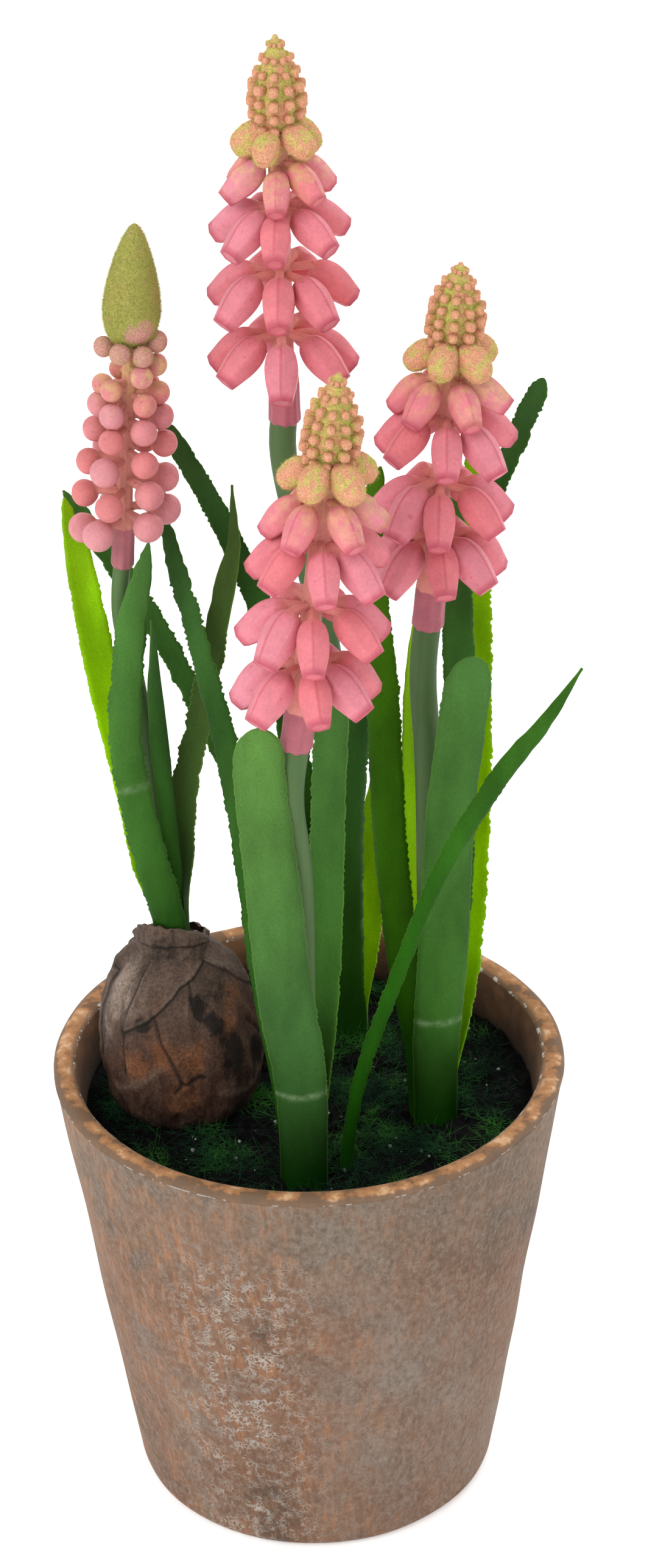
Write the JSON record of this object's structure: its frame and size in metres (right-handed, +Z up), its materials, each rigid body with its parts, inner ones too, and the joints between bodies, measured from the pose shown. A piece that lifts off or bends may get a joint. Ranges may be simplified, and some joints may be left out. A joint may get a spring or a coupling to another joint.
{
  "type": "potted grape hyacinth",
  "caption": "Artificial grape hyacinth in a weathered clay pot: pink florets with fuzzy green tips on slim stems, strappy leaves, and a papery bulb on dark soil.",
  "frame": {"origin": "centre of the pot's base, on the surface it stands on", "axes": "+Z up the plant, -Y towards the viewer of the picture, +X to the right of the picture"},
  "size_m": [0.1204, 0.12, 0.3527],
  "materials": {
    "weathered_clay": "unglazed clay, mottled brown and grey, chalky",
    "dark_soil": "near-black crumbs with moss fibres",
    "bulb_skin": "crumpled papery brown skin",
    "leaf_green": "matt, fine ribs along the leaf",
    "stem_green": "matt grey-green",
    "floret_pink": "moulded, slightly translucent salmon pink",
    "flocked_tip": "flocked yellow-green over orange-pink"
  },
  "bodies": {
    "root": {"pot": "weathered_clay", "soil": "dark_soil", "bulb": "bulb_skin", "bulb_collar": "bulb_skin", "leaf_front_broad": "leaf_green", "leaf_front_left": "leaf_green", "leaf_front_inner": "leaf_green", "leaf_grass": "leaf_green", "leaf_back_far_left": "leaf_green", "leaf_back_left": "leaf_green", "leaf_back_centre": "leaf_green", "leaf_back_right": "leaf_green", "leaf_right_left": "leaf_green", "leaf_right_hidden": "leaf_green", "leaf_right_front": "leaf_green", "leaf_right_inner": "leaf_green", "leaf_right_upright": "leaf_green", "leaf_right_far": "leaf_green", "leaf_bulb_front": "leaf_green", "leaf_bulb_left": "leaf_green", "leaf_bulb_right": "leaf_green", "leaf_bulb_inner": "leaf_green", "stem_top": "stem_green", "head_top_florets": "floret_pink", "head_top_tip": "flocked_tip", "stem_front": "stem_green", "head_front_florets": "floret_pink", "head_front_tip": "flocked_tip", "stem_right": "stem_green", "head_right_florets": "floret_pink", "head_right_tip": "flocked_tip", "stem_ball": "stem_green", "head_ball_florets": "floret_pink", "head_ball_tip": "flocked_tip"}
  },
  "joints": []
}
